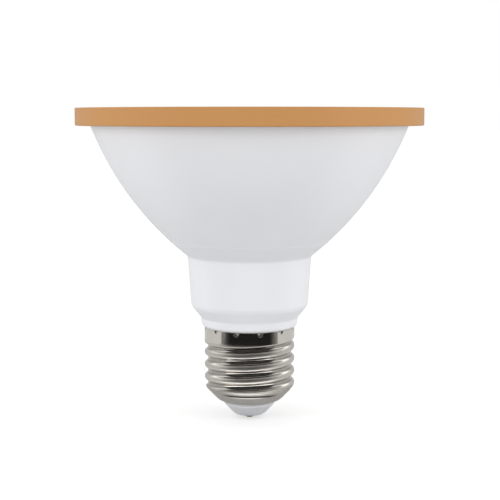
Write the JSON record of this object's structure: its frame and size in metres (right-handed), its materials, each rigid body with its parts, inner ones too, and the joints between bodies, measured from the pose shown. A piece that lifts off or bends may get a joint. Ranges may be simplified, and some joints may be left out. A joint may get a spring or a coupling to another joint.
{
  "type": "led reflector lamp",
  "caption": "Screw-base LED reflector lamp: white bowl and neck, tan front ring, clear lens over a faceted reflector.",
  "frame": {"origin": "tip of the centre contact, on the lamp's axis", "axes": "+Z along the lamp's axis from the base towards the lens; -Y is the side that the front view shows; X is across it"},
  "size_m": [0.0994, 0.0994, 0.0904],
  "materials": {
    "ring_tan": "satin tan",
    "lens_clear": "clear, polished",
    "silicone_white": "soft matt",
    "reflector_bright": "vacuum-metallised facets",
    "holder_white": "matt white",
    "substrate_aluminium": "white-coated metal plate",
    "phosphor_yellow": "cast silicone with phosphor",
    "screw_steel": "zinc plated",
    "pad_grey": "matt grey",
    "sink_aluminium": "as pressed",
    "housing_white": "satin white moulding",
    "cover_white": "matt white",
    "board_green": "solder resist",
    "chip_black": "moulded epoxy",
    "film_yellow": "dipped",
    "can_black": "sleeved can",
    "ferrite_dark": "ground ferrite",
    "bobbin_black": "phenolic",
    "winding_tape": "taped winding",
    "resistor_grey": "lacquered",
    "varistor_blue": "epoxy coated",
    "wire_red": "insulated lead",
    "wire_black": "insulated lead",
    "cap_plated": "nickel-plated rolled sheet",
    "insulator_pale": "pale, smooth",
    "contact_plated": "plated button"
  },
  "bodies": {
    "root": {"front_ring": "ring_tan", "lens": "lens_clear", "lens_gasket": "silicone_white", "reflector": "reflector_bright", "cob_holder": "holder_white", "cob_substrate": "substrate_aluminium", "cob_phosphor": "phosphor_yellow", "holder_screws": "screw_steel", "thermal_pad": "pad_grey", "heat_sink": "sink_aluminium", "housing": "housing_white", "driver_cover": "cover_white", "driver_board": "board_green", "bridge_rectifier": "chip_black", "film_capacitor": "film_yellow", "bulk_capacitor": "can_black", "output_capacitor": "can_black", "transformer_core": "ferrite_dark", "transformer_bobbin": "bobbin_black", "transformer_winding": "winding_tape", "line_choke": "ferrite_dark", "fusible_resistor": "resistor_grey", "varistor": "varistor_blue", "driver_ic": "chip_black", "output_diode": "chip_black", "live_wire": "wire_red", "neutral_wire": "wire_black", "led_wire_positive": "wire_red", "led_wire_negative": "wire_black", "cap_shell": "cap_plated", "cap_insulator": "insulator_pale", "centre_contact": "contact_plated"}
  },
  "joints": []
}
